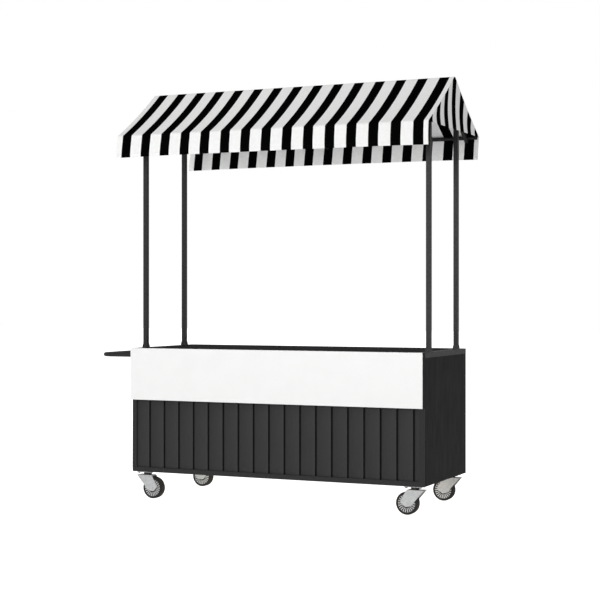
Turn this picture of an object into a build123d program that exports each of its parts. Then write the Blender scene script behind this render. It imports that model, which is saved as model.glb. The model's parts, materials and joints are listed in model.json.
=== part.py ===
from build123d import *
import math
import os

# Push vending cart in millimetres. X runs along the counter, +Y is the seller's side,
# +Z is up. The origin is on the floor, under the middle of the whole cart.

# Body
body_length = 1800.0
body_depth = 720.0
body_height = 720.0
end_panel_thickness = 15.0
trim_thickness = 18.0
trim_width = 27.0
backer_thickness = 9.0
countertop_thickness = 30.0
floor_thickness = 12.0
divider_thickness = 16.0
shelf_thickness = 18.0
shelf_height = 350.0
cleat_side = 20.0
board_gap = 2.0

# Fascia above the slats
fascia_height = 299.5
fascia_stand = 25.0
skin_thickness = 3.0

# Slats
slat_pitch = 95.77
slat_groove = 11.0
slat_thickness = 12.0
slat_crown = 1.5
first_groove = 17.0

# Steel frame of the body
frame_side = 30.0
frame_wall = 2.0
pad_thickness = 8.0
pad_margin = 3.0

# Rear doors and their hinges
door_thickness = 16.0
door_to_frame = 2.0
door_edge_gap = 2.0
door_meeting_gap = 3.0
door_bottom_gap = 4.0
door_top_gap = 3.0
hinge_length = 80.0
hinge_end_distance = 110.0
hinge_radius = 5.0
hinge_stand = 1.0
hinge_plate = 2.0
hinge_leaf_reach = 50.0
knuckle_gap = 0.5
pin_radius = 2.5
running_fit = 0.05
pull_span = 128.0
pull_radius = 5.0
pull_post_radius = 4.0
pull_stand = 30.0
pull_inset = 55.0
catch_length = 40.0
catch_height = 12.0
catch_depth = 14.0
catch_gap = 0.6

# Poles, their feet and the rails that carry them
rail_width = 36.0
rail_wall = 2.0
pole_side = 25.0
pole_wall = 1.5
pole_end_inset = 17.0
pole_spread = 468.0
spigot_height = 60.0
slip_fit = 0.1
socket_height = 22.0
socket_lip = 1.3
screw_height = 45.0
screw_radius = 3.0
screw_length = 12.0
screw_head_radius = 5.25
screw_head_height = 3.0

# Canopy and its frame
canopy_end_overhang = 53.0
canopy_side_overhang = 81.0
eave_height = 1950.0
ridge_rise = 295.0
valance_drop = 128.0
cloth_thickness = 3.0
cloth_fit = 0.5
ridge_tube_radius = 14.0
eave_tube_radius = 11.0
tube_wall = 2.0
rail_end_gap = 4.0
rafter_side = 20.0
rafter_wall = 2.0
rafter_drop = 18.0

# Push handle
handle_reach = 275.0
handle_arm_inset = 85.0
handle_radius = 12.5
handle_wall = 2.0
handle_bend = 60.0
flange_length = 90.0
flange_width = 36.0
flange_thickness = 5.0
flange_bolt_offset = 32.0

# Bolts
bolt_radius = 4.0
bolt_clearance = 0.1
bolt_head_flats = 13.0
bolt_head_height = 5.5
handle_bolt_length = 24.0
pad_bolt_short = 1.0

# Casters
wheel_diameter = 125.0
wheel_width = 44.0
wheel_to_crown = 8.0
fork_sheet = 3.0
race_height = 6.0
ball_space = 5.0
ball_fit = 0.1
ball_count = 16
race_radius = 23.0
skirt_thickness = 2.0
plate_length = 100.0
plate_width = 85.0
plate_thickness = 5.0
plate_corner = 8.0
plate_hole_length = 80.0
plate_hole_width = 60.0
swivel_end_inset = 70.0
swivel_face_inset = 56.0
caster_trail = 42.0
kingpin_radius = 6.0
kingpin_head_radius = 10.0
kingpin_head_height = 5.0
kingpin_gap = 0.3
crown_back = 58.0
crown_front = 40.0
fork_side_gap = 1.0
fork_round_back = 47.0
fork_round_front = 35.0
fork_round_drop = 17.0
fork_round_level = 11.5
axle_radius = 4.0
axle_head_radius = 7.0
axle_head_height = 2.5
sleeve_radius = 6.0
hub_overhang = 2.0
hub_rim_inset = 1.0
hub_radius = 50.5
hub_rim = 2.5
hub_core_radius = 27.0
hub_core_half = 13.0
hub_core_step = 8.0
hub_web_half = 3.0
hub_rib_count = 22
hub_rib_inner = 3.0
hub_rib_outer = 6.0
tyre_shoulder = 5.0

# Levels above the floor
crown_under = wheel_diameter + wheel_to_crown
crown_top = crown_under + fork_sheet
lower_race_top = crown_top + race_height
upper_race_under = lower_race_top + ball_space
plate_under = upper_race_under + race_height
underside = plate_under + plate_thickness
base_low = underside + pad_thickness
base_high = base_low + frame_side
floor_high = base_high + floor_thickness
counter_high = underside + body_height
counter_low = counter_high - countertop_thickness
top_frame_low = counter_low - frame_side
fascia_low = counter_high - fascia_height
shelf_low = underside + shelf_height
eave_level = underside + eave_height
ridge_level = eave_level + ridge_rise
valance_low = eave_level - valance_drop

# Planes measured from the middle of the body
end_face = body_length / 2
panel_inner = end_face - end_panel_thickness
front_face = body_depth / 2
rear_face = body_depth / 2
trim_back = front_face - trim_thickness
frame_front = trim_back - backer_thickness
door_inner = rear_face - door_thickness
frame_rear = door_inner - door_to_frame
pole_x = end_face - pole_end_inset
pole_y = pole_spread / 2
canopy_end = end_face + canopy_end_overhang
canopy_side = front_face + canopy_side_overhang
swivel_x = end_face - swivel_end_inset
swivel_y = front_face - swivel_face_inset
fork_inner = wheel_width / 2 + hub_overhang + fork_side_gap
fork_outer = fork_inner + fork_sheet
body_centre_x = (handle_reach - canopy_end_overhang) / 2

# Slope of the roof
slope_fall = ridge_rise / canopy_side
slope_cos = canopy_side / math.hypot(canopy_side, ridge_rise)

sides = (-1, 1)
corner_names = {
    (-1, -1): "front_left",
    (1, -1): "front_right",
    (-1, 1): "rear_left",
    (1, 1): "rear_right",
}


def block(x0, x1, y0, y1, z0, z1):
    middle = Pos((x0 + x1) / 2, (y0 + y1) / 2, (z0 + z1) / 2)
    return middle * Box(abs(x1 - x0), abs(y1 - y0), abs(z1 - z0))


def rod_z(radius, x, y, z0, z1):
    return Pos(x, y, (z0 + z1) / 2) * Cylinder(radius, z1 - z0)


def rod_x(radius, x0, x1, y, z):
    return Pos((x0 + x1) / 2, y, z) * Rot(0, 90, 0) * Cylinder(radius, abs(x1 - x0))


def rod_y(radius, x, y0, y1, z):
    return Pos(x, (y0 + y1) / 2, z) * Rot(90, 0, 0) * Cylinder(radius, abs(y1 - y0))


def hex_z(flats, x, y, z0, z1):
    outline = RegularPolygon(flats / 2, 6, major_radius=False)
    return Pos(x, y, z0) * extrude(outline, z1 - z0)


def tube_x(x0, x1, y0, y1, z0, z1, wall):
    hollow = block(x0, x1, y0 + wall, y1 - wall, z0 + wall, z1 - wall)
    return block(x0, x1, y0, y1, z0, z1) - hollow


def tube_y(x0, x1, y0, y1, z0, z1, wall):
    hollow = block(x0 + wall, x1 - wall, y0, y1, z0 + wall, z1 - wall)
    return block(x0, x1, y0, y1, z0, z1) - hollow


def tube_z(x0, x1, y0, y1, z0, z1, wall):
    hollow = block(x0 + wall, x1 - wall, y0 + wall, y1 - wall, z0, z1)
    return block(x0, x1, y0, y1, z0, z1) - hollow


def to_left(shape):
    return mirror(shape, about=Plane.YZ)


def save(name, shapes):
    solids = []
    for shape in shapes:
        solids.extend(shape.solids())
    place = Pos(body_centre_x, 0, 0)
    export_step(Compound(children=[place * solid for solid in solids]), f"parts/{name}.step")


# Steel frame

def ring_of_tubes(low):
    # Two long tubes with three cross tubes butted between them.
    high = low + frame_side
    inner_front = -frame_front + frame_side
    inner_rear = frame_rear - frame_side
    tubes = [
        tube_x(-panel_inner, panel_inner, -frame_front, inner_front, low, high, frame_wall),
        tube_x(-panel_inner, panel_inner, inner_rear, frame_rear, low, high, frame_wall),
    ]
    for middle in (-panel_inner + frame_side / 2, 0, panel_inner - frame_side / 2):
        left = middle - frame_side / 2
        tubes.append(tube_y(left, left + frame_side, inner_front, inner_rear, low, high, frame_wall))
    return tubes


def plate_holes():
    return [
        (x * swivel_x + i * plate_hole_length / 2, y * swivel_y + j * plate_hole_width / 2)
        for x in sides
        for y in sides
        for i in sides
        for j in sides
    ]


def caster_pads():
    inner_x = swivel_x - plate_length / 2 - pad_margin
    inner_y = swivel_y - plate_width / 2 - pad_margin
    outer_y = {-1: trim_back, 1: frame_rear}
    pads = []
    for x in sides:
        for y in sides:
            pad = block(x * inner_x, x * panel_inner, y * inner_y, y * outer_y[y], underside, base_low)
            for hole_x, hole_y in plate_holes():
                if hole_x * x > 0 and hole_y * y > 0:
                    pad -= rod_z(bolt_radius + bolt_clearance, hole_x, hole_y, underside, base_low)
            pads.append(pad)
    return pads


def base_frame():
    return ring_of_tubes(base_low) + caster_pads()


def post_places():
    corner_x = panel_inner - frame_side / 2
    front_y = -frame_front + frame_side / 2
    rear_y = frame_rear - frame_side / 2
    return [(-corner_x, front_y), (corner_x, front_y), (-corner_x, rear_y), (corner_x, rear_y), (0, rear_y)]


def post_block(x, y, margin, low, high):
    half = frame_side / 2 + margin
    return block(x - half, x + half, y - half, y + half, low, high)


def corner_posts():
    half = frame_side / 2
    return [
        tube_z(x - half, x + half, y - half, y + half, base_high, top_frame_low, frame_wall)
        for x, y in post_places()
    ]


def handle_level():
    return top_frame_low + frame_side / 2


def handle_arms():
    return [side * (front_face - handle_arm_inset) for side in sides]


def handle_bolt_holes(radius):
    # The bolts of both flanges pass through the left end panel into the frame.
    outside = -end_face - flange_thickness
    inside = -end_face + handle_bolt_length
    return [
        rod_x(radius, outside, inside, arm + offset, handle_level())
        for arm in handle_arms()
        for offset in (-flange_bolt_offset, flange_bolt_offset)
    ]


def top_frame():
    tubes = ring_of_tubes(top_frame_low)
    for hole in handle_bolt_holes(bolt_radius + bolt_clearance):
        tubes = [tube - hole for tube in tubes]
    return tubes


# Boards and panels of the body

def floor_board():
    board = block(-panel_inner, panel_inner, -frame_front, frame_rear, base_high, floor_high)
    for x, y in post_places():
        board -= post_block(x, y, board_gap, base_high, floor_high)
    return [board]


def right_end_panel():
    return [block(panel_inner, end_face, -trim_back, rear_face, underside, counter_low)]


def left_end_panel():
    panel = to_left(right_end_panel()[0])
    for hole in handle_bolt_holes(bolt_radius + bolt_clearance):
        panel -= hole
    return [panel]


def front_backer():
    return [block(-panel_inner, panel_inner, -trim_back, -frame_front, base_low, counter_low)]


def front_trim():
    stile_low = underside + trim_width
    inner = end_face - trim_width
    stile = block(inner, end_face, -front_face, -trim_back, stile_low, fascia_low)
    rail = block(-end_face, end_face, -front_face, -trim_back, underside, stile_low)
    return [rail, stile, to_left(stile)]


def front_slats():
    # Crowned planks at one pitch; the stiles cut the first and the last one.
    inner = end_face - trim_width
    low = underside + trim_width
    opening = block(-inner, inner, -front_face, -trim_back, low, fascia_low)
    width = slat_pitch - slat_groove
    edge = -trim_back - slat_thickness + slat_crown
    slats = []
    start = -end_face + first_groove + slat_groove / 2
    while start < inner:
        left = (start, edge)
        right = (start + width, edge)
        crown = ThreePointArc(left, (start + width / 2, edge - slat_crown), right)
        back = Polyline(right, (start + width, -trim_back), (start, -trim_back), left)
        plank = Pos(0, 0, low) * extrude(make_face([crown, back]), fascia_low - low)
        slats.append(plank & opening)
        start += slat_pitch
    return slats


def fascia_core():
    outer = front_face + fascia_stand - skin_thickness
    return [block(-end_face, end_face, -outer, -trim_back, fascia_low, counter_high)]


def fascia_skin():
    outer = front_face + fascia_stand
    return [block(-end_face, end_face, -outer, -outer + skin_thickness, fascia_low, counter_high)]


def countertop():
    half = end_face - rail_width
    return [block(-half, half, -trim_back, rear_face, counter_low, counter_high)]


def centre_divider():
    half = divider_thickness / 2
    rear = frame_rear - frame_side - board_gap
    return [block(-half, half, -frame_front, rear, floor_high, top_frame_low)]


def shelves():
    rear = frame_rear - frame_side - board_gap
    shelf = block(
        divider_thickness / 2, panel_inner, -frame_front, rear, shelf_low, shelf_low + shelf_thickness
    )
    for x, y in post_places():
        shelf -= post_block(x, y, board_gap, shelf_low, shelf_low + shelf_thickness)
    return [to_left(shelf), shelf]


def shelf_cleats():
    front = -frame_front + frame_side + board_gap
    rear = frame_rear - frame_side - board_gap
    low = shelf_low - cleat_side
    outer = block(panel_inner - cleat_side, panel_inner, front, rear, low, shelf_low)
    inner_x = divider_thickness / 2
    inner = block(inner_x, inner_x + cleat_side, front, rear, low, shelf_low)
    return [outer, inner, to_left(outer), to_left(inner)]


# Rear doors

door_low = underside + door_bottom_gap
door_high = counter_low - door_top_gap
door_outer_edge = panel_inner - door_edge_gap
pin_x = panel_inner - door_edge_gap / 2
pin_y = rear_face + hinge_radius + hinge_stand
hinge_levels = (door_low + hinge_end_distance, door_high - hinge_end_distance)


def right_door():
    return [block(door_meeting_gap / 2, door_outer_edge, door_inner, rear_face, door_low, door_high)]


def knuckle(low, high):
    bore = rod_z(pin_radius + running_fit, pin_x, pin_y, low, high)
    return rod_z(hinge_radius, pin_x, pin_y, low, high), bore


def door_leaf(level):
    # The middle knuckle with its plate on the face of the door.
    third = hinge_length / 3
    low = level - third / 2 + knuckle_gap / 2
    high = level + third / 2 - knuckle_gap / 2
    barrel, bore = knuckle(low, high)
    plate_edge = pin_x - hinge_radius - hinge_plate
    web = block(plate_edge, door_outer_edge, rear_face, pin_y, low, high)
    plate = block(
        pin_x - hinge_leaf_reach, plate_edge, rear_face, rear_face + hinge_plate,
        level - hinge_length / 2, level + hinge_length / 2,
    )
    return barrel + web + plate - bore


def frame_leaf(level):
    # The two outer knuckles with a plate on the rear edge of the end panel.
    half = hinge_length / 2
    inner = hinge_length / 6 + knuckle_gap / 2
    web_left = panel_inner + door_edge_gap / 4
    plate_left = pin_x + hinge_radius + hinge_plate
    leaf = block(plate_left, end_face - 1, rear_face, rear_face + hinge_plate, level - half, level + half)
    bores = []
    for low, high in ((level - half, level - inner), (level + inner, level + half)):
        barrel, bore = knuckle(low, high)
        leaf += barrel + block(web_left, plate_left, rear_face, pin_y, low, high)
        bores.append(bore)
    return leaf - bores[0] - bores[1]


def right_door_hinge_leaves():
    return [door_leaf(level) for level in hinge_levels]


def frame_hinge_leaves():
    leaves = [frame_leaf(level) for level in hinge_levels]
    return leaves + [to_left(leaf) for leaf in leaves]


def hinge_pins():
    half = hinge_length / 2
    pins = [rod_z(pin_radius, pin_x, pin_y, level - half, level + half) for level in hinge_levels]
    return pins + [to_left(pin) for pin in pins]


def right_door_pull():
    level = door_high - pull_span
    x = door_meeting_gap / 2 + pull_inset
    bar_y = rear_face + pull_stand
    reach = pull_span / 2 + pull_radius
    pull = rod_z(pull_radius, x, bar_y, level - reach, level + reach)
    for side in sides:
        pull += rod_y(pull_post_radius, x, rear_face, bar_y, level + side * pull_span / 2)
    return [pull]


def door_catches():
    rear = door_inner - catch_gap
    left = frame_side / 2 + board_gap
    catch = block(
        left, left + catch_length, rear - catch_depth, rear, top_frame_low - catch_height, top_frame_low
    )
    return [catch, to_left(catch)]


def mirrored(shapes):
    return [to_left(shape) for shape in shapes]


# Poles and their feet

def pole_places():
    return [(x * pole_x, y * pole_y) for x in sides for y in sides]


def end_rails():
    # A capped tube along each end.
    left = end_face - rail_width
    rail = block(left, end_face, -trim_back, rear_face, counter_low, counter_high)
    rail -= block(
        left + rail_wall, end_face - rail_wall, -trim_back, rear_face - rail_wall,
        counter_low + rail_wall, counter_high - rail_wall,
    )
    return [rail, to_left(rail)]


def pole_spigots():
    # A stub welded to the end rail, which the pole slides over.
    half = pole_side / 2 - pole_wall - slip_fit
    spigots = []
    for side in sides:
        y = side * pole_y
        spigot = block(
            pole_x - half, pole_x + half, y - half, y + half,
            counter_high, counter_high + spigot_height,
        )
        spigot -= screw_bores()
        spigots += [spigot, to_left(spigot)]
    return spigots


def screw_bores():
    inner = pole_x - pole_side / 2
    radius = screw_radius + slip_fit
    level = counter_high + screw_height
    bores = [rod_x(radius, inner - 1, inner + screw_length + 1, side * pole_y, level) for side in sides]
    return bores[0] + bores[1]


def rafter_level(y, depth):
    # Height of a plane that lies below the roof's outer face, square to the slope by depth.
    return ridge_level - slope_fall * abs(y) - depth / slope_cos


def slope_strip(side, shallow, deep, reach, x0, x1):
    # A slab between two planes under one slope, from the middle out to reach.
    outline = Polyline(
        (0, rafter_level(0, shallow)),
        (side * reach, rafter_level(reach, shallow)),
        (side * reach, rafter_level(reach, deep)),
        (0, rafter_level(0, deep)),
        close=True,
    )
    return Pos(x0, 0, 0) * extrude(Plane.YZ * make_face(outline), x1 - x0)


def poles():
    half = pole_side / 2
    top = rafter_level(pole_y - half, rafter_drop + rafter_side)
    tubes = []
    for x, y in pole_places():
        tube = tube_z(x - half, x + half, y - half, y + half, counter_high, top, pole_wall)
        side = math.copysign(1, y)
        tube -= slope_strip(side, 0, rafter_drop + rafter_side, canopy_side, x - pole_side, x + pole_side)
        bores = screw_bores() if x > 0 else to_left(screw_bores())
        tubes.append(tube - bores)
    return tubes


def pole_sockets():
    base = 2 * pole_end_inset
    lip = pole_side + 2 * socket_lip
    collars = []
    for x, y in pole_places():
        collar = loft([Rectangle(base, base), Pos(0, 0, socket_height) * Rectangle(lip, lip)])
        collar -= Pos(0, 0, socket_height / 2) * Box(
            pole_side + 2 * slip_fit, pole_side + 2 * slip_fit, socket_height
        )
        collars.append(Pos(x, y, counter_high) * collar)
    return collars


def pole_screws():
    inner = pole_x - pole_side / 2
    level = counter_high + screw_height
    screws = []
    for side in sides:
        y = side * pole_y
        head = rod_x(screw_head_radius, inner - screw_head_height, inner, y, level)
        screw = head + rod_x(screw_radius, inner, inner + screw_length, y, level)
        screws += [screw, to_left(screw)]
    return screws


# Canopy frame

rail_end = canopy_end - cloth_thickness - rail_end_gap
ridge_tube_level = ridge_level - (ridge_tube_radius + cloth_thickness + cloth_fit) / slope_cos
eave_tube_y = canopy_side - cloth_thickness - cloth_fit - eave_tube_radius
eave_tube_level = rafter_level(eave_tube_y, eave_tube_radius + cloth_thickness + cloth_fit)


def round_tube_x(radius, y, level):
    outside = rod_x(radius, -rail_end, rail_end, y, level)
    return outside - rod_x(radius - tube_wall, -rail_end, rail_end, y, level)


def ridge_rail():
    return [round_tube_x(ridge_tube_radius, 0, ridge_tube_level)]


def eave_rails():
    return [round_tube_x(eave_tube_radius, side * eave_tube_y, eave_tube_level) for side in sides]


def rafters():
    half = rafter_side / 2
    inner = half - rafter_wall
    ridge = rod_x(ridge_tube_radius, -rail_end, rail_end, 0, ridge_tube_level)
    pieces = []
    for x in (-pole_x, 0, pole_x):
        for side in sides:
            low = rafter_drop + rafter_side
            rafter = slope_strip(side, rafter_drop, low, eave_tube_y, x - half, x + half)
            rafter -= slope_strip(
                side, rafter_drop + rafter_wall, rafter_drop + rafter_side - rafter_wall,
                eave_tube_y, x - inner, x + inner,
            )
            eave = rod_x(eave_tube_radius, -rail_end, rail_end, side * eave_tube_y, eave_tube_level)
            pieces.append(rafter - ridge - eave)
    return pieces


# Canopy cloth

def canopy_roof(side):
    return [slope_strip(side, 0, cloth_thickness, canopy_side, -canopy_end, canopy_end)]


def valance(side):
    high = rafter_level(canopy_side, cloth_thickness)
    inner = canopy_side - cloth_thickness
    return [block(-canopy_end, canopy_end, side * inner, side * canopy_side, valance_low, high)]


def gable_panels():
    reach = canopy_side - cloth_thickness
    low = rafter_level(reach, cloth_thickness)
    outline = Polyline((-reach, low), (reach, low), (0, rafter_level(0, cloth_thickness)), close=True)
    panel = extrude(Plane.YZ * make_face(outline), cloth_thickness)
    right = Pos(canopy_end - cloth_thickness, 0, 0) * panel
    return [right, to_left(right)]


# Push handle

def push_handle():
    tip = -end_face - handle_reach + handle_radius
    front_arm, rear_arm = handle_arms()
    level = handle_level()
    path = FilletPolyline(
        (-end_face, front_arm, level), (tip, front_arm, level),
        (tip, rear_arm, level), (-end_face, rear_arm, level),
        radius=handle_bend,
    )
    start = Plane(origin=(-end_face, front_arm, level), z_dir=(-1, 0, 0))
    outer = sweep(start * Circle(handle_radius), path)
    inner = sweep(start * Circle(handle_radius - handle_wall), path)
    return [outer - inner]


def handle_flanges():
    flanges = []
    for arm in handle_arms():
        outline = SlotOverall(flange_length, flange_width, rotation=90)
        start = Plane(origin=(-end_face, arm, handle_level()), x_dir=(0, 0, 1), z_dir=(-1, 0, 0))
        flange = extrude(start * outline, flange_thickness)
        bore = handle_radius + slip_fit
        flange -= rod_x(bore, -end_face - flange_thickness, -end_face, arm, handle_level())
        for hole in handle_bolt_holes(bolt_radius + bolt_clearance):
            flange -= hole
        flanges.append(flange)
    return flanges


def m8_bolts():
    # Sixteen bolts hold the caster plates and four hold the handle flanges.
    bolts = []
    for x, y in plate_holes():
        head = hex_z(bolt_head_flats, x, y, plate_under - bolt_head_height, plate_under)
        bolts.append(head + rod_z(bolt_radius, x, y, plate_under, base_low - pad_bolt_short))
    face = -end_face - flange_thickness
    for arm in handle_arms():
        for offset in (-flange_bolt_offset, flange_bolt_offset):
            head = hex_z(bolt_head_flats, 0, 0, 0, bolt_head_height)
            bolt = head + rod_z(bolt_radius, 0, 0, bolt_head_height, bolt_head_height + handle_bolt_length)
            start = Pos(face - bolt_head_height, arm + offset, handle_level()) * Rot(0, 90, 0)
            bolts.append(start * bolt)
    return bolts


# One caster, built round its swivel axis with the wheel trailing towards +X

def caster_plate():
    plate = Pos(0, 0, plate_under) * extrude(
        RectangleRounded(plate_length, plate_width, plate_corner), plate_thickness
    )
    for x in sides:
        for y in sides:
            plate -= rod_z(
                bolt_radius + bolt_clearance, x * plate_hole_length / 2, y * plate_hole_width / 2,
                plate_under, underside,
            )
    cup = rod_z(race_radius, 0, 0, lower_race_top + knuckle_gap, plate_under)
    cup -= rod_z(race_radius - skirt_thickness, 0, 0, lower_race_top, upper_race_under)
    return plate + cup - rod_z(kingpin_radius + running_fit, 0, 0, lower_race_top, underside)


def kingpin():
    head_high = crown_under - kingpin_gap
    head = rod_z(kingpin_head_radius, 0, 0, head_high - kingpin_head_height, head_high)
    return head + rod_z(kingpin_radius, 0, 0, head_high, underside)


def race_balls():
    radius = ball_space / 2 - ball_fit
    circle = (race_radius - skirt_thickness + kingpin_radius) / 2 + radius
    level = lower_race_top + ball_space / 2
    balls = []
    for i in range(ball_count):
        angle = 2 * math.pi * i / ball_count
        balls.append(Pos(circle * math.cos(angle), circle * math.sin(angle), level) * Sphere(radius))
    return balls


def fork():
    axle_level = wheel_diameter / 2
    round_level = axle_level + fork_round_level
    back = (caster_trail - fork_round_back, round_level)
    front = (caster_trail + fork_round_front, round_level)
    low = (caster_trail - (fork_round_back - fork_round_front) / 2, axle_level - fork_round_drop)
    edges = Polyline(front, (crown_front, crown_top), (-crown_back, crown_top), back)
    cheek_face = make_face([edges, ThreePointArc(back, low, front)])
    cheek = extrude(Plane.XZ * cheek_face, fork_sheet)
    shape = block(-crown_back, crown_front, -fork_outer, fork_outer, crown_under, crown_top)
    shape += Pos(0, -fork_inner, 0) * cheek
    shape += Pos(0, fork_outer, 0) * cheek
    shape += rod_z(race_radius, 0, 0, crown_top, lower_race_top)
    shape -= rod_z(kingpin_radius + running_fit, 0, 0, crown_under, lower_race_top)
    return shape - rod_y(axle_radius + slip_fit, caster_trail, -fork_outer, fork_outer, axle_level)


def axle():
    level = wheel_diameter / 2
    shaft = rod_y(axle_radius, caster_trail, -fork_outer, fork_outer, level)
    for side in sides:
        outer = side * (fork_outer + axle_head_height)
        shaft += rod_y(axle_head_radius, caster_trail, side * fork_outer, outer, level)
    sleeve = rod_y(sleeve_radius, caster_trail, -fork_inner, fork_inner, level)
    sleeve -= rod_y(axle_radius + slip_fit, caster_trail, -fork_inner, fork_inner, level)
    return [shaft, sleeve]


def disc(radius, half):
    return Rot(90, 0, 0) * Cylinder(radius, 2 * half)


def hub():
    rim_half = wheel_width / 2 - hub_rim_inset
    barrel_radius = hub_core_radius - hub_core_step
    shape = disc(barrel_radius, wheel_width / 2 + hub_overhang)
    shape += disc(hub_core_radius, hub_core_half)
    shape += disc(hub_radius, hub_web_half)
    shape += disc(hub_radius, rim_half) - disc(hub_radius - hub_rim, rim_half)
    outline = Polyline(
        (hub_core_radius - 1, -hub_rib_inner / 2), (hub_radius - hub_rim / 2, -hub_rib_outer / 2),
        (hub_radius - hub_rim / 2, hub_rib_outer / 2), (hub_core_radius - 1, hub_rib_inner / 2),
        close=True,
    )
    rib = Pos(0, rim_half, 0) * extrude(Plane.XZ * make_face(outline), 2 * rim_half)
    shape += [Rot(0, i * 360 / hub_rib_count, 0) * rib for i in range(hub_rib_count)]
    shape -= disc(sleeve_radius + running_fit, fork_inner)
    return Pos(caster_trail, 0, wheel_diameter / 2) * shape


def tyre():
    ring = disc(wheel_diameter / 2, wheel_width / 2)
    rims = ring.edges().filter_by(GeomType.CIRCLE)
    ring = fillet(rims, tyre_shoulder) - disc(hub_radius, wheel_width / 2)
    return Pos(caster_trail, 0, wheel_diameter / 2) * ring


def caster_place(x, y):
    # Each wheel trails towards the middle of the cart.
    return Pos(x * swivel_x, y * swivel_y, 0) * Rot(0, 0, 180 if x > 0 else 0)


def casters():
    places = {corner: caster_place(*corner) for corner in corner_names}
    save("caster_plates", [place * caster_plate() for place in places.values()])
    save("kingpins", [place * kingpin() for place in places.values()])
    save("race_balls", [place * ball for place in places.values() for ball in race_balls()])
    parts = {"fork": [fork()], "axle": axle(), "hub": [hub()], "tyre": [tyre()]}
    for corner, name in corner_names.items():
        for part, shapes in parts.items():
            save(f"{name}_{part}", [places[corner] * shape for shape in shapes])


os.makedirs("parts", exist_ok=True)
save("base_frame", base_frame())
save("corner_posts", corner_posts())
save("top_frame", top_frame())
save("floor_board", floor_board())
save("left_end_panel", left_end_panel())
save("right_end_panel", right_end_panel())
save("front_backer", front_backer())
save("front_trim", front_trim())
save("front_slats", front_slats())
save("fascia_core", fascia_core())
save("fascia_skin", fascia_skin())
save("countertop", countertop())
save("centre_divider", centre_divider())
save("shelves", shelves())
save("shelf_cleats", shelf_cleats())
save("right_door", right_door())
save("left_door", mirrored(right_door()))
save("right_door_hinge_leaves", right_door_hinge_leaves())
save("left_door_hinge_leaves", mirrored(right_door_hinge_leaves()))
save("frame_hinge_leaves", frame_hinge_leaves())
save("hinge_pins", hinge_pins())
save("right_door_pull", right_door_pull())
save("left_door_pull", mirrored(right_door_pull()))
save("door_catches", door_catches())
save("end_rails", end_rails())
save("pole_spigots", pole_spigots())
save("poles", poles())
save("pole_sockets", pole_sockets())
save("pole_screws", pole_screws())
save("ridge_rail", ridge_rail())
save("eave_rails", eave_rails())
save("rafters", rafters())
save("canopy_roof_front", canopy_roof(-1))
save("canopy_roof_rear", canopy_roof(1))
save("front_valance", valance(-1))
save("rear_valance", valance(1))
save("gable_panels", gable_panels())
save("push_handle", push_handle())
save("handle_flanges", handle_flanges())
save("m8_bolts", m8_bolts())
casters()
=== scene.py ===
import bmesh
import bpy
import json
import math
from mathutils import Matrix, Vector


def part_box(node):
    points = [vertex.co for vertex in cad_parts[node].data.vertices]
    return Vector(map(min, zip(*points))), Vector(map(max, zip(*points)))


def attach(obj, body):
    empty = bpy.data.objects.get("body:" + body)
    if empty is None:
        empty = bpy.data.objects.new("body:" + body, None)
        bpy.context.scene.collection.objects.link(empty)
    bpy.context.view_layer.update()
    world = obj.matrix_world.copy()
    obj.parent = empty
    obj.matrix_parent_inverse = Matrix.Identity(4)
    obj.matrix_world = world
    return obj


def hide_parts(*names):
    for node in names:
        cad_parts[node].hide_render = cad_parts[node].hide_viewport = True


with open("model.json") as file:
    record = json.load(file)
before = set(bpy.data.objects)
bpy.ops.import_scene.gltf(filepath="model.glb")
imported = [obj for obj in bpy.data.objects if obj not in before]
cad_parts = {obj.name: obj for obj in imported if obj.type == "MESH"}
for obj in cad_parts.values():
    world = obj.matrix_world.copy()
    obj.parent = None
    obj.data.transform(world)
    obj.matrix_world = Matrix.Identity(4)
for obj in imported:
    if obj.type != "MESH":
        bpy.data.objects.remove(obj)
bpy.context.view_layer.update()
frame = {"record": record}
print("frame loaded")

mm = 0.001
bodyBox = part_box("floor_board")
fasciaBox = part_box("fascia_skin")
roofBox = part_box("canopy_roof_front")
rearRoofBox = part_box("canopy_roof_rear")
cartMiddle = (fasciaBox[0][0] + fasciaBox[1][0]) / 2
bodyOf = {node: body for body, nodes in frame["record"]["behaviour"]["bodies"].items() for node in nodes}
slotOf = {part["node"]: part["material_slot"] for part in frame["record"]["subparts"]}


def newPiece(name, mesh, material, body):
    piece = bpy.data.objects.new(name, mesh)
    bpy.context.scene.collection.objects.link(piece)
    mesh.materials.clear()
    mesh.materials.append(material)
    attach(piece, body)
    return piece


def bakedMesh(helper):
    # the modifiers' result as a plain mesh; the helper object goes away
    graph = bpy.context.evaluated_depsgraph_get()
    mesh = bpy.data.meshes.new_from_object(helper.evaluated_get(graph))
    bpy.data.objects.remove(helper)
    return mesh


def helperObject(name, mesh):
    helper = bpy.data.objects.new(name, mesh)
    bpy.context.scene.collection.objects.link(helper)
    return helper


def smoothShade(mesh, angle):
    for polygon in mesh.polygons:
        polygon.use_smooth = True
    mesh.set_sharp_from_angle(angle=math.radians(angle))


def newMaterial(name):
    material = bpy.data.materials.new(name)
    material.use_nodes = True
    tree = material.node_tree
    return material, tree, tree.nodes["Principled BSDF"]


view = dict(place=(3.65885, -7.8091, 1.1774), turn=24.372, lens=88.535, shiftY=-0.0057)
studio = dict(
    ambient=0.49, skyWhite=1.0, floorHalf=40, floorTone=0.85, floorGlow=0.3, floorLift=1.0, aimHeight=1.2,
    frontPlace=(-1.2, -9.0, 2.7), frontSize=4.5, frontPower=315,
    topPlace=(0.5, -3.5, 8.0), topSize=4.0, topPower=45,
    underUp=0.004, underInset=0.06, underPower=3.3, underColour=(0.86, 0.95, 1.0),
)


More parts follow.
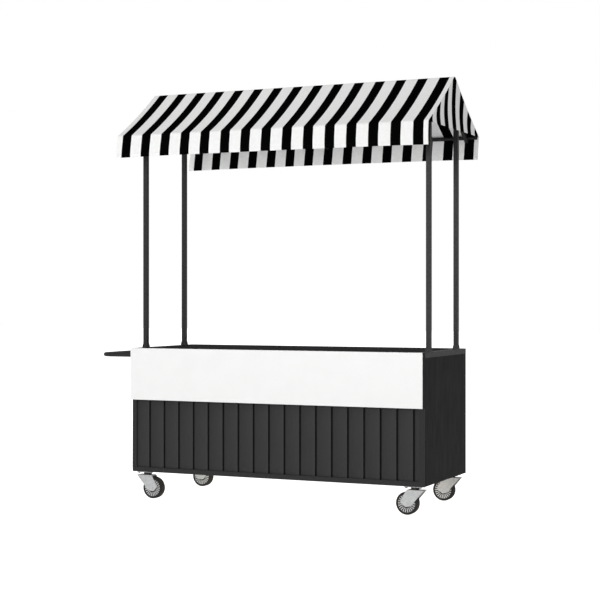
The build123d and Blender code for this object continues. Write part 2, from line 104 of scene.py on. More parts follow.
def addCamera():
    data = bpy.data.cameras.new("camera")
    data.lens = view["lens"]
    data.shift_y = view["shiftY"]
    data.clip_end = 200
    camera = bpy.data.objects.new("camera", data)
    camera.location = view["place"]
    camera.rotation_euler = (math.radians(90), 0, math.radians(view["turn"]))
    bpy.context.scene.collection.objects.link(camera)
    bpy.context.scene.camera = camera
    bpy.context.scene.view_settings.view_transform = "Standard"


def addAreaLight(name, place, size, power):
    data = bpy.data.lights.new(name, "AREA")
    data.shape = "DISK"
    data.size = size
    data.energy = power
    light = bpy.data.objects.new(name, data)
    light.location = place
    aim = Vector((cartMiddle, 0, studio["aimHeight"]))
    light.rotation_euler = (aim - Vector(place)).to_track_quat("-Z", "Y").to_euler()
    bpy.context.scene.collection.objects.link(light)


def addUnderBounce():
    # light thrown up by the pale floor below the cart
    data = bpy.data.lights.new("underBounce", "AREA")
    data.shape = "RECTANGLE"
    data.size = bodyBox[1][0] - bodyBox[0][0] - 2 * studio["underInset"]
    data.size_y = bodyBox[1][1] - bodyBox[0][1] - 2 * studio["underInset"]
    data.energy = studio["underPower"]
    data.color = studio["underColour"]
    light = bpy.data.objects.new("underBounce", data)
    light.location = (cartMiddle, 0, studio["underUp"])
    light.rotation_euler = (math.pi, 0, 0)
    light.visible_camera = False
    light.visible_glossy = False
    bpy.context.scene.collection.objects.link(light)


def addFloor():
    half = studio["floorHalf"]
    corners = [(-half, -half, 0), (half, -half, 0), (half, half, 0), (-half, half, 0)]
    mesh = bpy.data.meshes.new("floor")
    mesh.from_pydata(corners, [], [(0, 1, 2, 3)])
    floor = helperObject("floor", mesh)
    material, tree, shader = newMaterial("paleFloor")
    shader.inputs["Base Color"].default_value = (*[studio["floorTone"]] * 3, 1)
    shader.inputs["Roughness"].default_value = 0.9
    shader.inputs["Specular IOR Level"].default_value = 0.0
    shader.inputs["Emission Color"].default_value = (1, 1, 1, 1)
    seen = tree.nodes.new("ShaderNodeLightPath")
    lift = tree.nodes.new("ShaderNodeMapRange")
    lift.inputs["To Min"].default_value = studio["floorGlow"]
    lift.inputs["To Max"].default_value = studio["floorLift"]
    tree.links.new(seen.outputs["Is Camera Ray"], lift.inputs["Value"])
    tree.links.new(lift.outputs["Result"], shader.inputs["Emission Strength"])
    mesh.materials.append(material)


def addWorld():
    # white to look at, softer as a light
    world = bpy.data.worlds.new("studio")
    world.use_nodes = True
    tree = world.node_tree
    background = tree.nodes["Background"]
    background.inputs["Color"].default_value = (1, 1, 1, 1)
    seen = tree.nodes.new("ShaderNodeLightPath")
    strength = tree.nodes.new("ShaderNodeMapRange")
    strength.inputs["To Min"].default_value = studio["ambient"]
    strength.inputs["To Max"].default_value = studio["skyWhite"]
    tree.links.new(seen.outputs["Is Camera Ray"], strength.inputs["Value"])
    tree.links.new(strength.outputs["Result"], background.inputs["Strength"])
    bpy.context.scene.world = world


addCamera()
addWorld()
addAreaLight("frontSoftbox", studio["frontPlace"], studio["frontSize"], studio["frontPower"])
addAreaLight("topSoftbox", studio["topPlace"], studio["topSize"], studio["topPower"])
addUnderBounce()
addFloor()
print("camera and light set")


def newGroup(name, inputs, outputs):
    group = bpy.data.node_groups.new(name, "ShaderNodeTree")
    for label, kind, value in inputs:
        socket = group.interface.new_socket(name=label, in_out="INPUT", socket_type=kind)
        if value is not None:
            socket.default_value = value
    for label, kind in outputs:
        group.interface.new_socket(name=label, in_out="OUTPUT", socket_type=kind)
    enter = group.nodes.new("NodeGroupInput")
    leave = group.nodes.new("NodeGroupOutput")
    return group, enter, leave


def math2(tree, operation, first, second=None, clamp=False):
    node = tree.nodes.new("ShaderNodeMath")
    node.operation = operation
    node.use_clamp = clamp
    for index, value in enumerate((first, second)):
        if value is None:
            continue
        if isinstance(value, (int, float)):
            node.inputs[index].default_value = value
        else:
            tree.links.new(value, node.inputs[index])
    return node.outputs[0]


def makeSpeckleGroup():
    # cloudy tone and a fine bump height, for paint, zinc, rubber and plastic
    group, enter, leave = newGroup(
        "speckle",
        [("Scale", "NodeSocketFloat", 40.0), ("Stretch", "NodeSocketVector", (1, 1, 1)),
         ("Low", "NodeSocketFloat", 0.4), ("High", "NodeSocketFloat", 0.6)],
        [("Tone", "NodeSocketFloat"), ("Height", "NodeSocketFloat")],
    )
    place = group.nodes.new("ShaderNodeTexCoord")
    spread = group.nodes.new("ShaderNodeVectorMath")
    spread.operation = "MULTIPLY"
    group.links.new(place.outputs["Object"], spread.inputs[0])
    group.links.new(enter.outputs["Stretch"], spread.inputs[1])
    coarse = group.nodes.new("ShaderNodeTexNoise")
    coarse.inputs["Detail"].default_value = 4
    group.links.new(spread.outputs[0], coarse.inputs["Vector"])
    group.links.new(enter.outputs["Scale"], coarse.inputs["Scale"])
    fine = group.nodes.new("ShaderNodeTexNoise")
    fine.inputs["Detail"].default_value = 2
    group.links.new(spread.outputs[0], fine.inputs["Vector"])
    group.links.new(math2(group, "MULTIPLY", enter.outputs["Scale"], 9.0), fine.inputs["Scale"])
    tone = group.nodes.new("ShaderNodeMapRange")
    tone.inputs["From Min"].default_value = 0.3
    tone.inputs["From Max"].default_value = 0.7
    group.links.new(coarse.outputs["Fac"], tone.inputs["Value"])
    group.links.new(enter.outputs["Low"], tone.inputs["To Min"])
    group.links.new(enter.outputs["High"], tone.inputs["To Max"])
    group.links.new(tone.outputs["Result"], leave.inputs["Tone"])
    group.links.new(fine.outputs["Fac"], leave.inputs["Height"])
    return group


def makeDustGroup():
    # dust that settles low on the cart
    group, enter, leave = newGroup(
        "dust",
        [("Colour", "NodeSocketColor", (0.05, 0.05, 0.05, 1)),
         ("Dust", "NodeSocketColor", (0.3, 0.3, 0.295, 1)),
         ("Reach", "NodeSocketFloat", 0.35), ("Amount", "NodeSocketFloat", 0.08)],
        [("Colour", "NodeSocketColor")],
    )
    place = group.nodes.new("ShaderNodeTexCoord")
    split = group.nodes.new("ShaderNodeSeparateXYZ")
    group.links.new(place.outputs["Object"], split.inputs[0])
    share = math2(group, "DIVIDE", split.outputs["Z"], enter.outputs["Reach"])
    low = math2(group, "SUBTRACT", 1.0, share, clamp=True)
    noise = group.nodes.new("ShaderNodeTexNoise")
    noise.inputs["Scale"].default_value = 14
    noise.inputs["Detail"].default_value = 5
    group.links.new(place.outputs["Object"], noise.inputs["Vector"])
    patches = math2(group, "MULTIPLY", low, noise.outputs["Fac"])
    amount = math2(group, "MULTIPLY", patches, enter.outputs["Amount"])
    mix = group.nodes.new("ShaderNodeMix")
    mix.data_type = "RGBA"
    group.links.new(amount, mix.inputs["Factor"])
    group.links.new(enter.outputs["Colour"], mix.inputs["A"])
    group.links.new(enter.outputs["Dust"], mix.inputs["B"])
    group.links.new(mix.outputs["Result"], leave.inputs["Colour"])
    return group


def makeWeaveGroup():
    # crossed threads on the cloth's own map, in metres
    group, enter, leave = newGroup(
        "weave",
        [("Map", "NodeSocketVector", None), ("Thread", "NodeSocketFloat", 0.0009)],
        [("Height", "NodeSocketFloat"), ("Tone", "NodeSocketFloat")],
    )
    split = group.nodes.new("ShaderNodeSeparateXYZ")
    group.links.new(enter.outputs["Map"], split.inputs[0])
    turns = math2(group, "DIVIDE", math.pi, enter.outputs["Thread"])
    warp = math2(group, "SINE", math2(group, "MULTIPLY", split.outputs["X"], turns))
    weft = math2(group, "SINE", math2(group, "MULTIPLY", split.outputs["Y"], turns))
    crossing = math2(group, "MULTIPLY", warp, weft)
    height = math2(group, "MULTIPLY_ADD", crossing, 0.5)
    height.node.inputs[2].default_value = 0.5
    group.links.new(height, leave.inputs["Height"])
    noise = group.nodes.new("ShaderNodeTexNoise")
    noise.inputs["Scale"].default_value = 55
    noise.inputs["Detail"].default_value = 6
    group.links.new(enter.outputs["Map"], noise.inputs["Vector"])
    group.links.new(noise.outputs["Fac"], leave.inputs["Tone"])
    return group


def makeStripeGroup():
    # 1 on the white bands, 0 on the black ones
    group, enter, leave = newGroup(
        "stripes",
        [("Across", "NodeSocketFloat", 0.0), ("Middle", "NodeSocketFloat", 0.0),
         ("Pitch", "NodeSocketFloat", 0.1), ("Black", "NodeSocketFloat", 0.05),
         ("Soft", "NodeSocketFloat", 0.001)],
        [("White", "NodeSocketFloat")],
    )
    fromMiddle = math2(group, "SUBTRACT", enter.outputs["Across"], enter.outputs["Middle"])
    turns = math2(group, "DIVIDE", fromMiddle, enter.outputs["Pitch"])
    off = math2(group, "ABSOLUTE", math2(group, "SUBTRACT", turns, math2(group, "ROUND", turns)))
    away = math2(group, "SUBTRACT", math2(group, "MULTIPLY", off, enter.outputs["Pitch"]),
                 math2(group, "MULTIPLY", enter.outputs["Black"], 0.5))
    ramp = math2(group, "DIVIDE", away, enter.outputs["Soft"])
    edge = math2(group, "MULTIPLY_ADD", ramp, 1.0, clamp=True)
    edge.node.inputs[2].default_value = 0.5
    group.links.new(edge, leave.inputs["White"])
    return group


speckle = makeSpeckleGroup()
dust = makeDustGroup()
weave = makeWeaveGroup()
stripeBands = makeStripeGroup()


def placeGroup(tree, group, **values):
    node = tree.nodes.new("ShaderNodeGroup")
    node.node_tree = group
    for label, value in values.items():
        if isinstance(value, bpy.types.NodeSocket):
            tree.links.new(value, node.inputs[label])
        else:
            node.inputs[label].default_value = value
    return node


bumpDepth = dict(paint=0.4 * mm, plastic=0.3 * mm, zinc=0.3 * mm, cloth=0.3 * mm)


def bumpNormal(tree, height, strength, distance):
    bump = tree.nodes.new("ShaderNodeBump")
    bump.inputs["Strength"].default_value = strength
    bump.inputs["Distance"].default_value = distance
    tree.links.new(height, bump.inputs["Height"])
    return bump.outputs["Normal"]


def twoTone(tree, factor, dark, light):
    mix = tree.nodes.new("ShaderNodeMix")
    mix.data_type = "RGBA"
    tree.links.new(factor, mix.inputs["Factor"])
    for label, value in (("A", dark), ("B", light)):
        if isinstance(value, bpy.types.NodeSocket):
            tree.links.new(value, mix.inputs[label])
        else:
            mix.inputs[label].default_value = (*value, 1)
    return mix.outputs["Result"]


def coatedFinish(name, dark, light, scale, stretch=(1, 1, 1), rough=(0.4, 0.55), bump=0.15, metal=0.0,
                 dusty=0.0, specular=0.5):
    # two close tones in soft spots, which also change the gloss, over a fine bump
    material, tree, shader = newMaterial(name)
    spots = placeGroup(tree, speckle, Scale=scale, Stretch=stretch, Low=0.0, High=1.0)
    colour = twoTone(tree, spots.outputs["Tone"], dark, light)
    if dusty:
        layer = placeGroup(tree, dust, Colour=colour, Amount=dusty)
        colour = layer.outputs["Colour"]
    tree.links.new(colour, shader.inputs["Base Color"])
    roughness = tree.nodes.new("ShaderNodeMapRange")
    roughness.inputs["To Min"].default_value = rough[0]
    roughness.inputs["To Max"].default_value = rough[1]
    tree.links.new(spots.outputs["Tone"], roughness.inputs["Value"])
    tree.links.new(roughness.outputs["Result"], shader.inputs["Roughness"])
    tree.links.new(bumpNormal(tree, spots.outputs["Height"], bump, bumpDepth["paint"]),
                   shader.inputs["Normal"])
    shader.inputs["Metallic"].default_value = metal
    shader.inputs["Specular IOR Level"].default_value = specular
    return material


# slat tones; each plank gets painted shading, from the dark tone at its left edge to the light one at its
# right
slatTone = dict(dark=(0.020, 0.020, 0.0205), light=(0.0325, 0.0325, 0.033), pitch=95.77 * mm,
                start=22.5 * mm, sweep=0.8, grain=0.2, dust=0.03)


def makeSlatFinish(name):
    # painted planks: grain runs up the board, and each plank carries painted shading, darker at its left
    # edge and lighter at its right, as light falls on a crowned face
    material, tree, shader = newMaterial(name)
    place = tree.nodes.new("ShaderNodeTexCoord")
    split = tree.nodes.new("ShaderNodeSeparateXYZ")
    tree.links.new(place.outputs["Object"], split.inputs[0])
    fromEnd = math2(tree, "SUBTRACT", split.outputs["X"], fasciaBox[0][0] + slatTone["start"])
    across = math2(tree, "FRACT", math2(tree, "DIVIDE", fromEnd, slatTone["pitch"]))
    grain = placeGroup(tree, speckle, Scale=18.0, Stretch=(9.0, 9.0, 0.5), Low=0.0, High=1.0)
    shadeAndGrain = math2(tree, "MULTIPLY_ADD", across, slatTone["sweep"], clamp=True)
    tree.links.new(math2(tree, "MULTIPLY", grain.outputs["Tone"], slatTone["grain"]), shadeAndGrain.node.inputs[2])
    colour = twoTone(tree, shadeAndGrain, slatTone["dark"], slatTone["light"])
    layer = placeGroup(tree, dust, Colour=colour, Amount=slatTone["dust"])
    tree.links.new(layer.outputs["Colour"], shader.inputs["Base Color"])
    shader.inputs["Roughness"].default_value = 0.6
    shader.inputs["Specular IOR Level"].default_value = 0.22
    tree.links.new(bumpNormal(tree, grain.outputs["Height"], 0.25, bumpDepth["paint"]),
                   shader.inputs["Normal"])
    return material


hubTone = dict(shadow=(0.012, 0.012, 0.012), wear=(0.02, 0.02, 0.02), face=(0.74, 0.74, 0.74), deep=8 * mm,
               shallow=2.5 * mm, lip=2 * mm)


def makeHubFinish(name):
    # moulded grey nylon, shadowed at the bottom of the recesses and under the lip of the tyre
    material, tree, shader = newMaterial(name)
    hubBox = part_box("front_left_hub")
    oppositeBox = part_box("front_right_hub")
    middle = (hubBox[0][0] + oppositeBox[1][0]) / 2
    apart = (oppositeBox[0][0] + oppositeBox[1][0]) / 2 - middle
    radius = (hubBox[1][2] - hubBox[0][2]) / 2
    height = (hubBox[1][2] + hubBox[0][2]) / 2
    centre = abs(hubBox[0][1] + hubBox[1][1]) / 2
    half = (hubBox[1][1] - hubBox[0][1]) / 2
    place = tree.nodes.new("ShaderNodeTexCoord")
    split = tree.nodes.new("ShaderNodeSeparateXYZ")
    tree.links.new(place.outputs["Object"], split.inputs[0])
    sideY = math2(tree, "ABSOLUTE", split.outputs["Y"])
    fromCentre = math2(tree, "ABSOLUTE", math2(tree, "SUBTRACT", sideY, centre))
    depth = tree.nodes.new("ShaderNodeMapRange")
    depth.inputs["From Min"].default_value = half - hubTone["deep"]
    depth.inputs["From Max"].default_value = half - hubTone["shallow"]
    tree.links.new(fromCentre, depth.inputs["Value"])
    fromSide = math2(tree, "ABSOLUTE", math2(tree, "SUBTRACT", split.outputs["X"], middle))
    sideways = math2(tree, "SUBTRACT", fromSide, apart)
    upward = math2(tree, "SUBTRACT", split.outputs["Z"], height)
    squares = math2(tree, "ADD", math2(tree, "POWER", sideways, 2.0), math2(tree, "POWER", upward, 2.0))
    insideLip = math2(tree, "LESS_THAN", squares, (radius - hubTone["lip"]) ** 2)
    lit = math2(tree, "MULTIPLY", depth.outputs["Result"], insideLip)
    spots = placeGroup(tree, speckle, Scale=60.0, Low=0.85, High=1.0)
    colour = twoTone(tree, lit, hubTone["shadow"], hubTone["face"])
    shade = twoTone(tree, spots.outputs["Tone"], hubTone["wear"], colour)
    tree.links.new(shade, shader.inputs["Base Color"])
    shader.inputs["Roughness"].default_value = 0.5
    tree.links.new(bumpNormal(tree, spots.outputs["Height"], 0.1, bumpDepth["plastic"]),
                   shader.inputs["Normal"])
    return material


stripes = dict(pitch=127.6 * mm, black=58 * mm, shift=4.5 * mm, gablePitch=133 * mm, gableBlack=66 * mm,
               soft=0.8 * mm, thread=1.1 * mm, whiteLow=(0.78, 0.78, 0.775), whiteHigh=(0.9, 0.9, 0.895),
               darkLow=(0.0008, 0.0008, 0.0009), darkHigh=(0.0022, 0.0022, 0.0024))
# zinc tones; the band between the two heights at the end is painted shade, black round the swivel races
zinc = dict(low=(0.44, 0.445, 0.45), high=(0.56, 0.565, 0.57), metal=0.15, dust=0.02,
            raceShadeTone=(0.008, 0.008, 0.008),
            raceShadeLow=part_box("front_left_fork")[1][2] - 6 * mm,
            raceShadeHigh=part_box("caster_plates")[1][2] - 5.2 * mm)
canvasGlow = dict(behind=rearRoofBox[1][1] - 50 * mm, below=rearRoofBox[0][2] - 2 * mm, amount=0.16)


def makeCanvasFinish(name, pitch, black, middle):
    material, tree, shader = newMaterial(name)
    cloth = tree.nodes.new("ShaderNodeUVMap")
    cloth.uv_map = "cut"
    split = tree.nodes.new("ShaderNodeSeparateXYZ")
    tree.links.new(cloth.outputs["UV"], split.inputs[0])
    bands = placeGroup(tree, stripeBands, Across=split.outputs["X"], Middle=middle, Pitch=pitch, Black=black,
                       Soft=stripes["soft"])
    threads = placeGroup(tree, weave, Map=cloth.outputs["UV"], Thread=stripes["thread"])
    white = twoTone(tree, threads.outputs["Tone"], stripes["whiteLow"], stripes["whiteHigh"])
    dark = twoTone(tree, threads.outputs["Tone"], stripes["darkLow"], stripes["darkHigh"])
    colour = twoTone(tree, bands.outputs["White"], dark, white)
    tree.links.new(colour, shader.inputs["Base Color"])
    # daylight that comes through the single cloth of the rear valance
    place = tree.nodes.new("ShaderNodeTexCoord")
    where = tree.nodes.new("ShaderNodeSeparateXYZ")
    tree.links.new(place.outputs["Object"], where.inputs[0])
    behind = math2(tree, "GREATER_THAN", where.outputs["Y"], canvasGlow["behind"])
    below = math2(tree, "LESS_THAN", where.outputs["Z"], canvasGlow["below"])
    through = math2(tree, "MULTIPLY", math2(tree, "MULTIPLY", behind, below), canvasGlow["amount"])
    tree.links.new(twoTone(tree, through, (0, 0, 0), colour), shader.inputs["Emission Color"])
    shader.inputs["Emission Strength"].default_value = 1.0
    shader.inputs["Roughness"].default_value = 0.9
    shader.inputs["Specular IOR Level"].default_value = 0.0
    tree.links.new(bumpNormal(tree, threads.outputs["Height"], 0.3, bumpDepth["cloth"]),
                   shader.inputs["Normal"])
    return material


def makeThreadFinish(name):
    # sewing thread that matches the band it crosses
    material, tree, shader = newMaterial(name)
    place = tree.nodes.new("ShaderNodeTexCoord")
    split = tree.nodes.new("ShaderNodeSeparateXYZ")
    tree.links.new(place.outputs["Object"], split.inputs[0])
    bands = placeGroup(tree, stripeBands, Across=split.outputs["X"], Middle=cartMiddle + stripes["shift"],
                       Pitch=stripes["pitch"], Black=stripes["black"], Soft=stripes["soft"])
    fuzz = placeGroup(tree, speckle, Scale=400.0, Low=0.0, High=1.0)
    white = twoTone(tree, fuzz.outputs["Tone"], (0.6, 0.6, 0.59), (0.75, 0.75, 0.74))
    dark = twoTone(tree, fuzz.outputs["Tone"], (0.004, 0.004, 0.004), (0.009, 0.009, 0.009))
    tree.links.new(twoTone(tree, bands.outputs["White"], dark, white), shader.inputs["Base Color"])
    shader.inputs["Roughness"].default_value = 0.8
    shader.inputs["Specular IOR Level"].default_value = 0.1
    return material


def makeZincFinish(name):
    # bright zinc plate, with painted shade: the swivel races between the plate and the fork crown are
    # coloured black
    material, tree, shader = newMaterial(name)
    spots = placeGroup(tree, speckle, Scale=70.0, Low=0.0, High=1.0)
    plated = twoTone(tree, spots.outputs["Tone"], zinc["low"], zinc["high"])
    layer = placeGroup(tree, dust, Colour=plated, Reach=0.12, Amount=zinc["dust"])
    place = tree.nodes.new("ShaderNodeTexCoord")
    split = tree.nodes.new("ShaderNodeSeparateXYZ")
    tree.links.new(place.outputs["Object"], split.inputs[0])
    above = math2(tree, "GREATER_THAN", split.outputs["Z"], zinc["raceShadeLow"])
    below = math2(tree, "LESS_THAN", split.outputs["Z"], zinc["raceShadeHigh"])
    raceShadeMask = math2(tree, "MULTIPLY", above, below)
    colour = twoTone(tree, raceShadeMask, layer.outputs["Colour"], zinc["raceShadeTone"])
    tree.links.new(colour, shader.inputs["Base Color"])
    roughness = tree.nodes.new("ShaderNodeMapRange")
    roughness.inputs["To Min"].default_value = 0.35
    roughness.inputs["To Max"].default_value = 0.5
    tree.links.new(spots.outputs["Tone"], roughness.inputs["Value"])
    tree.links.new(roughness.outputs["Result"], shader.inputs["Roughness"])
    metal = tree.nodes.new("ShaderNodeMapRange")
    metal.inputs["To Min"].default_value = zinc["metal"]
    metal.inputs["To Max"].default_value = 0.0
    tree.links.new(raceShadeMask, metal.inputs["Value"])
    tree.links.new(metal.outputs["Result"], shader.inputs["Metallic"])
    tree.links.new(bumpNormal(tree, spots.outputs["Height"], 0.1, bumpDepth["zinc"]),
                   shader.inputs["Normal"])
    return material


finishes = {
    "black_steel": coatedFinish(
        "powderCoat", (0.012, 0.012, 0.0125), (0.018, 0.018, 0.0185), 120.0, bump=0.12, specular=0.26),
    "charcoal_board": coatedFinish(
        "paintedBoard", (0.009, 0.009, 0.0095), (0.0125, 0.0125, 0.013), 12.0, stretch=(3, 3, 0.6),
        rough=(0.55, 0.68), bump=0.2, dusty=0.03, specular=0.07),
    "charcoal_top": coatedFinish(
        "darkLaminate", (0.006, 0.006, 0.0065), (0.009, 0.009, 0.0095), 25.0, rough=(0.65, 0.8),
        specular=0.03),
    "white_laminate": coatedFinish(
        "whiteLaminate", (0.835, 0.835, 0.83), (0.855, 0.855, 0.85), 8.0, rough=(0.3, 0.4), bump=0.05,
        dusty=0.02),
    "zinc": makeZincFinish("brightZinc"),
    "black_fixing": coatedFinish(
        "blackOxide", (0.015, 0.015, 0.016), (0.03, 0.03, 0.03), 200.0, rough=(0.3, 0.45)),
    "bearing_steel": coatedFinish(
        "groundSteel", (0.45, 0.45, 0.46), (0.6, 0.6, 0.61), 200.0, rough=(0.2, 0.3), metal=1.0),
    "grey_hub": makeHubFinish("ribbedNylon"),
    "tyre_rubber": coatedFinish(
        "tyreRubber", (0.010, 0.010, 0.010), (0.018, 0.018, 0.018), 90.0, rough=(0.6, 0.75), bump=0.3,
        dusty=0.06, specular=0.2),
    "birch_ply": coatedFinish(
        "birchPly", (0.55, 0.42, 0.28), (0.68, 0.55, 0.4), 6.0, stretch=(0.4, 8, 8), rough=(0.45, 0.6)),
    "catch_plastic": coatedFinish("catchPlastic", (0.05, 0.05, 0.05), (0.08, 0.08, 0.08), 90.0),
}
slatFinish = makeSlatFinish("paintedPlanks")
trimFinish = coatedFinish(
    "paintedTrim", (0.017, 0.017, 0.0175), (0.023, 0.023, 0.0235), 14.0, stretch=(3, 3, 0.8),
    rough=(0.55, 0.65), bump=0.2, dusty=0.03, specular=0.2)
ownFinish = {"front_slats": slatFinish, "front_trim": trimFinish}
print("finishes made")

for node, slot in slotOf.items():
    if slot == "striped_canvas":
        continue
    finish = ownFinish.get(node, finishes[slot])
    cadObject = bpy.data.objects[node]
    if cadObject.material_slots:
        cadObject.material_slots[0].material = finish
    else:
        cadObject.data.materials.append(finish)


easedEdges = dict(panels=1.2 * mm, tubes=2.2 * mm, pressings=1.0 * mm, sharpAngle=40)
easedNodes = {
    "left_end_panel": "panels", "right_end_panel": "panels", "fascia_core": "panels",
    "fascia_skin": "pressings", "countertop": "panels", "front_trim": "panels", "front_slats": "panels",
    "left_door": "panels", "right_door": "panels", "poles": "tubes", "pole_sockets": "pressings",
    "caster_plates": "pressings",
}


def easedPiece(node, kind):
    mesh = bpy.data.objects[node].data.copy()
    work = bmesh.new()
    work.from_mesh(mesh)
    bmesh.ops.remove_doubles(work, verts=work.verts, dist=1e-6)
    bmesh.ops.dissolve_limit(work, angle_limit=math.radians(1), verts=work.verts, edges=work.edges)
    work.to_mesh(mesh)
    work.free()
    helper = helperObject(f"{node}Work", mesh)
    bevel = helper.modifiers.new("ease", "BEVEL")
    bevel.width = easedEdges[kind]
    bevel.segments = 3
    bevel.limit_method = "ANGLE"
    bevel.angle_limit = math.radians(easedEdges["sharpAngle"])
    bevel.harden_normals = True
    result = bakedMesh(helper)
    finish = ownFinish.get(node, finishes[slotOf[node]])
    piece = newPiece(f"{node}_eased", result, finish, bodyOf[node])
    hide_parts(node)


for node, kind in easedNodes.items():
    easedPiece(node, kind)
print("edges eased")


canopy = dict(
    rise=295 * mm, bay=883 * mm, clothUp=1.0 * mm, eaveRound=16 * mm, ridgeRound=27 * mm, sag=9 * mm,
    extraSag=4 * mm, stepsAcross=144, slopeSteps=22, arcSteps=8, valanceSteps=12, thickness=1.0 * mm,
    frontLow=1.984, rearLow=1.976, frontFlare=16 * mm, flareMiddle=0.55, flareTurn=0.45, hangPower=1.2,
    frontBelly=6 * mm, rearLean=21 * mm, rearBelly=4 * mm, bellyReach=0.85, bellyPower=0.3, wave=3.2 * mm,
    cornerDrop=4 * mm,
)
ripples = dict(longRate=9.7, longShare=0.6, shortRate=21.3, shortShift=1.1, shortShare=0.4)
hem = dict(fold=1.15 * mm, up=0.3 * mm)
canopyLeft, canopyRight = roofBox[0][0], roofBox[1][0]
canopyMiddle = (canopyLeft + canopyRight) / 2
canopySide = -roofBox[0][1]
ridgeHeight = roofBox[1][2]
slopeAngle = math.atan2(canopy["rise"], canopySide)


def roundedCorner(before, corner, after, radius, steps):
    # points of the arc that rounds a corner of a polyline
    inward = (before - corner).normalized()
    outward = (after - corner).normalized()
    half = inward.angle(outward) / 2
    reach = radius / math.tan(half)
    start = corner + inward * reach
    finish = corner + outward * reach
    centre = corner + (inward + outward).normalized() * radius / math.sin(half)
    points = []
    first = start - centre
    turn = (finish - centre).angle_signed(first)
    for i in range(steps + 1):
        a = turn * i / steps
        points.append(centre + Matrix.Rotation(a, 2) @ first)
    return points


def canopyProfile():
    # the cut line of the cloth, from the front hem over the ridge to the rear hem, as (y, z, kind, along)
    side = canopySide - canopy["clothUp"]
    drop = canopy["clothUp"] / math.cos(slopeAngle)
    apex = Vector((0, ridgeHeight - drop))
    eaveHeight = ridgeHeight - drop - side * math.tan(slopeAngle)
    frontEave = Vector((-side, eaveHeight))
    rearEave = Vector((side, eaveHeight))
    frontHem = Vector((-side, canopy["frontLow"]))
    rearHem = Vector((side, canopy["rearLow"]))
    frontArc = roundedCorner(frontHem, frontEave, apex, canopy["eaveRound"], canopy["arcSteps"])
    ridgeArc = roundedCorner(frontEave, apex, rearEave, canopy["ridgeRound"], canopy["arcSteps"])
    rearArc = roundedCorner(apex, rearEave, rearHem, canopy["eaveRound"], canopy["arcSteps"])
    rows = []

    def run(start, finish, steps, kind, last=False):
        for i in range(steps + (1 if last else 0)):
            t = i / steps
            rows.append((*(start.lerp(finish, t)), kind, t))

    run(frontHem, frontArc[0], canopy["valanceSteps"], "frontValance")
    rows.extend((p.x, p.y, "arc", 0) for p in frontArc[:-1])
    run(frontArc[-1], ridgeArc[0], canopy["slopeSteps"], "frontSlope")
    rows.extend((p.x, p.y, "arc", 0) for p in ridgeArc[:-1])
    run(ridgeArc[-1], rearArc[0], canopy["slopeSteps"], "rearSlope")
    rows.extend((p.x, p.y, "arc", 0) for p in rearArc[:-1])
    run(rearArc[-1], rearHem, canopy["valanceSteps"], "rearValance", last=True)
    return rows


profile = canopyProfile()


def clothPoint(row, x):
    # one point of the hung cloth; x is the place along the ridge
    y, z, kind, t = row
    span = (x - canopyMiddle) / ((canopyRight - canopyLeft) / 2)
    if kind in ("frontSlope", "rearSlope"):
        between = 0.5 - 0.5 * math.cos(2 * math.pi * (x - cartMiddle) / canopy["bay"])
        depth = (canopy["sag"] + canopy["extraSag"] * between) * 4 * t * (1 - t)
        direction = 1 if kind == "rearSlope" else -1
        y -= direction * depth * math.sin(slopeAngle)
        z -= depth * math.cos(slopeAngle)
    elif kind in ("frontValance", "rearValance"):
        hang = 1 - t if kind == "frontValance" else t
        belly = math.sin(math.pi * hang * canopy["bellyReach"]) * hang ** canopy["bellyPower"]
        long = math.sin(x * ripples["longRate"]) * ripples["longShare"]
        short = math.sin(x * ripples["shortRate"] + ripples["shortShift"]) * ripples["shortShare"]
        ripple = canopy["wave"] * hang * (long + short)
        lean = hang ** canopy["hangPower"]
        if kind == "frontValance":
            flare = canopy["frontFlare"] * (canopy["flareMiddle"] - canopy["flareTurn"] * span) * lean
            y -= flare + canopy["frontBelly"] * belly + ripple
        else:
            y -= canopy["rearLean"] * lean + canopy["rearBelly"] * belly + ripple
        z -= canopy["cornerDrop"] * hang * abs(span) ** 3
    return x, y, z


def sheetMesh(name, points, columns, rows, mapPoints):
    # a grid of cloth with its own map in metres
    mesh = bpy.data.meshes.new(name)
    faces = []
    for r in range(rows - 1):
        for c in range(columns - 1):
            a = r * columns + c
            faces.append((a, a + 1, a + columns + 1, a + columns))
    mesh.from_pydata(points, [], faces)
    layer = mesh.uv_layers.new(name="cut")
    for loop in mesh.loops:
        layer.data[loop.index].uv = mapPoints[loop.vertex_index]
    mesh.update()
    return mesh


def thickened(mesh, thickness, name):
    helper = helperObject(name, mesh)
    wall = helper.modifiers.new("cloth", "SOLIDIFY")
    wall.thickness = thickness
    wall.offset = 0
    result = bakedMesh(helper)
    smoothShade(result, 50)
    return result


def alongLengths():
    lengths = [0.0]
    for before, after in zip(profile, profile[1:]):
        lengths.append(lengths[-1] + math.dist(before[:2], after[:2]))
    return lengths


def makeRoofSheet():
    columns = canopy["stepsAcross"] + 1
    lengths = alongLengths()
    points, mapPoints = [], []
    for row, length in zip(profile, lengths):
        for c in range(columns):
            x = canopyLeft + (canopyRight - canopyLeft) * c / canopy["stepsAcross"]
            points.append(clothPoint(row, x))
            mapPoints.append((x, length))
    mesh = sheetMesh("canopyCloth", points, columns, len(profile), mapPoints)
    mesh = thickened(mesh, canopy["thickness"], "canopyWork")
    middle = canopyMiddle + stripes["shift"]
    finish = makeCanvasFinish("roofCanvas", stripes["pitch"], stripes["black"], middle)
    cloth = newPiece("canopy_cloth", mesh, finish, "cart")
    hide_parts("canopy_roof_front", "canopy_roof_rear", "front_valance", "rear_valance")
    return cloth, lengths[-1], finish


canopyCloth, clothLength, roofCanvas = makeRoofSheet()


